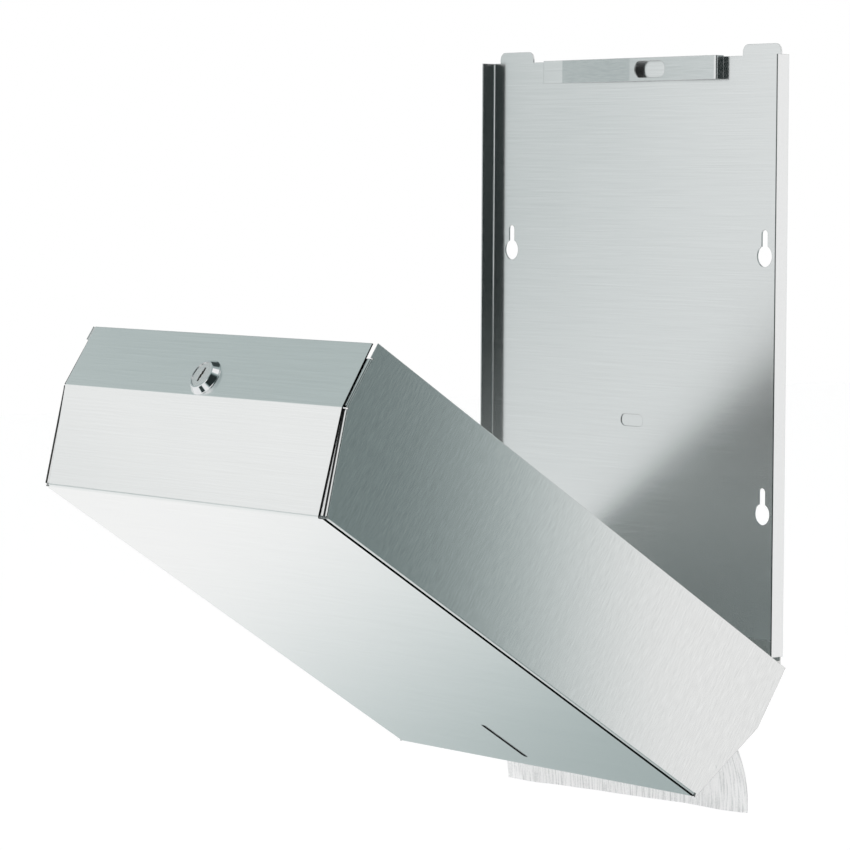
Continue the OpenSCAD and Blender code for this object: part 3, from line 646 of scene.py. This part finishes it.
def backing_material():
    """White board behind the part, as metal sees it: grey far to the right, and low down in the middle,
    where a shadow of the part is painted.

    It is clear behind the plate, so that the plate's back mirrors the studio.
    """
    s = Shader("white board")
    axes = s.add("ShaderNodeSeparateXYZ")
    s.join(s.place(), axes.inputs[0])
    x, z = axes.outputs["X"], axes.outputs["Z"]
    right = s.spread(x, *BOARD_RIGHT_LEVELS, *BOARD_RIGHT_X, "SMOOTHSTEP")
    # A painted shadow of the part, low down in the middle
    shadow_x = s.spread(x, 0, 1, *BOARD_SHADOW_X, "SMOOTHSTEP")
    shadow_z = s.spread(z, 1, 0, *BOARD_SHADOW_Z, "SMOOTHSTEP")
    level = s.between(s.maths("MULTIPLY", shadow_x, shadow_z), right, BOARD_SHADOW_LEVEL)
    beside = s.maths("GREATER_THAN", s.maths("ABSOLUTE", x), COVER_W / 2)
    from_middle = s.maths("ABSOLUTE", s.maths("SUBTRACT", z, (PLATE_TOP + PLATE_LOW) / 2))
    past_ends = s.maths("GREATER_THAN", from_middle, (PLATE_TOP - PLATE_LOW) / 2)
    s.tree.nodes.remove(s.bsdf)
    glow = s.add("ShaderNodeEmission")
    board = s.add("ShaderNodeMixShader")
    s.join(cool(s, level), glow.inputs["Color"])
    s.join(s.maths("MAXIMUM", beside, past_ends), board.inputs["Fac"])
    s.join(s.add("ShaderNodeBsdfTransparent").outputs[0], board.inputs[1])
    s.join(glow.outputs[0], board.inputs[2])
    s.join(board.outputs[0], s.output.inputs["Surface"])
    return s.material


def stage_quad(name, corners, place, material):
    """Flat piece of the stage with four corners."""
    mesh = bpy.data.meshes.new(name)
    mesh.from_pydata(corners, [], [(0, 1, 2, 3)])
    mesh.materials.append(material)
    obj = bpy.data.objects.new(name, mesh)
    obj.location = place
    bpy.context.scene.collection.objects.link(obj)
    return obj


def stage_floor():
    """Level floor. Metal sees the studio below the horizon in its place."""
    half = FLOOR_SIZE / 2
    corners = [(-half, -half, 0), (half, -half, 0), (half, half, 0), (-half, half, 0)]
    obj = stage_quad("floor", corners, (0, 0, FLOOR_Z), floor_material())
    obj.visible_glossy = False


def stage_board():
    """Upright board just behind the wall plane. Only metal sees it."""
    left, right = BOARD_X
    corners = [(left, 0, FLOOR_Z), (right, 0, FLOOR_Z), (right, 0, BOARD_TOP), (left, 0, BOARD_TOP)]
    obj = stage_quad("backing_board", corners, (0, BOARD_Y, 0), backing_material())
    obj.visible_camera = obj.visible_diffuse = obj.visible_shadow = False


stage_floor()
stage_board()

# Cards that stand round the part: way, full size, size with the soft edge, level, squeeze in z
CARDS = (
    ((0.785, 0.618, 0.0), 0.46, 0.8, 0.25, 0.6),
    ((0.84, -0.53, 0.1), 0.34, 0.55, 0.03, 0.4),
    ((-0.3, 0.5, 0.81), 0.32, 0.5, 0.06, 1.0),
    ((0.5, 0.08, 0.86), 0.2, 0.3, 1.0, 1.0),
    ((-0.1, -0.82, -0.57), 0.16, 0.26, 0.06, 1.0),
    ((-0.88, -0.47, 0.02), 0.17, 0.3, 0.4, 2.5),
)
# Studio's level by height, from straight down to straight up
BANDS = (
    (0.0, 0.9), (0.3, 0.95), (0.44, 0.88), (0.51, 0.93), (0.56, 1.0), (0.64, 1.0), (0.73, 0.54), (1.0, 0.45),
)


def studio_world():
    """White to the camera; metal sees a soft studio that is darker overhead, with a few cards."""
    world = bpy.data.worlds.new("studio")
    bpy.context.scene.world = world
    world.use_nodes = True
    world.cycles.sampling_method = "NONE"
    world.node_tree.nodes.clear()
    s = Nodes(world.node_tree)
    way = s.vectors("NORMALIZE", s.add("ShaderNodeTexCoord").outputs["Generated"], (0, 0, 0))
    ramp = s.add("ShaderNodeValToRGB")
    while len(ramp.color_ramp.elements) < len(BANDS):
        ramp.color_ramp.elements.new(0.5)
    for element, (at, level) in zip(ramp.color_ramp.elements, BANDS):
        element.position = at
        element.color = (level, level, level, 1)
    s.join(s.spread(s.vectors("DOT_PRODUCT", way, (0, 0, 1)), 0, 1, -1.0, 1.0), ramp.inputs["Fac"])
    studio = ramp.outputs["Color"]
    for axis, full, edge, level, stretch in CARDS:
        apart = s.vectors("SUBTRACT", way, Vector(axis).normalized())
        squeezed = s.vectors("MULTIPLY", apart, (1, 1, stretch))
        card = s.spread(s.vectors("DISTANCE", squeezed, (0, 0, 0)), 1, 0, full, edge, "SMOOTHSTEP")
        studio = s.between(card, studio, level)
    sky = (SKY_LEVEL, SKY_LEVEL, SKY_LEVEL)
    colour = s.colour_between(mirror_rays(s), sky, cool(s, studio))
    camera_ray = s.add("ShaderNodeLightPath").outputs["Is Camera Ray"]
    colour = s.colour_between(camera_ray, colour, (1.0, 1.0, 1.0))
    back = s.add("ShaderNodeBackground")
    s.join(colour, back.inputs["Color"])
    s.join(back.outputs[0], s.add("ShaderNodeOutputWorld").inputs["Surface"])


studio_world()

LIGHT_TARGET = (0, -0.1, -0.1)


def area_light(name, place, size, power):
    """Square lamp that faces the part and isn't seen in metal."""
    data = bpy.data.lights.new(name, "AREA")
    data.shape = "SQUARE"
    data.size = size
    data.energy = power
    obj = bpy.data.objects.new(name, data)
    obj.location = place
    obj.rotation_mode = "QUATERNION"
    obj.rotation_quaternion = (Vector(LIGHT_TARGET) - Vector(place)).to_track_quat("-Z", "Y")
    obj.visible_camera = obj.visible_glossy = False
    bpy.context.scene.collection.objects.link(obj)


area_light("key light", (-1.2, -1.9, 1.3), 1.4, 30)
area_light("fill light", (1.8, -1.6, 0.5), 1.2, 6)

# Camera, as fitted to the photograph
LENS_PX = 3816.13
FRAME_PX = 850
CAMERA_PLACE = (1.730515, -1.524832, 0.117932)
YAW, PITCH, ROLL = -0.903, -0.064, 0.005
camera_data = bpy.data.cameras.new("camera")
camera_data.sensor_width = 36.0
camera_data.lens = LENS_PX / FRAME_PX * camera_data.sensor_width
camera_data.clip_start, camera_data.clip_end = 0.05, 60
camera = bpy.data.objects.new("camera", camera_data)
ahead = Vector((math.sin(YAW) * math.cos(PITCH), math.cos(YAW) * math.cos(PITCH), math.sin(PITCH)))
level_right = Vector((math.cos(YAW), -math.sin(YAW), 0))
level_up = level_right.cross(ahead)
right = level_right * math.cos(ROLL) + level_up * math.sin(ROLL)
upward = level_up * math.cos(ROLL) - level_right * math.sin(ROLL)
turned = Matrix((right, upward, -ahead)).transposed().to_4x4()
camera.matrix_world = Matrix.Translation(CAMERA_PLACE) @ turned
bpy.context.scene.collection.objects.link(camera)
bpy.context.scene.camera = camera
bpy.context.scene.view_settings.view_transform = "Standard"
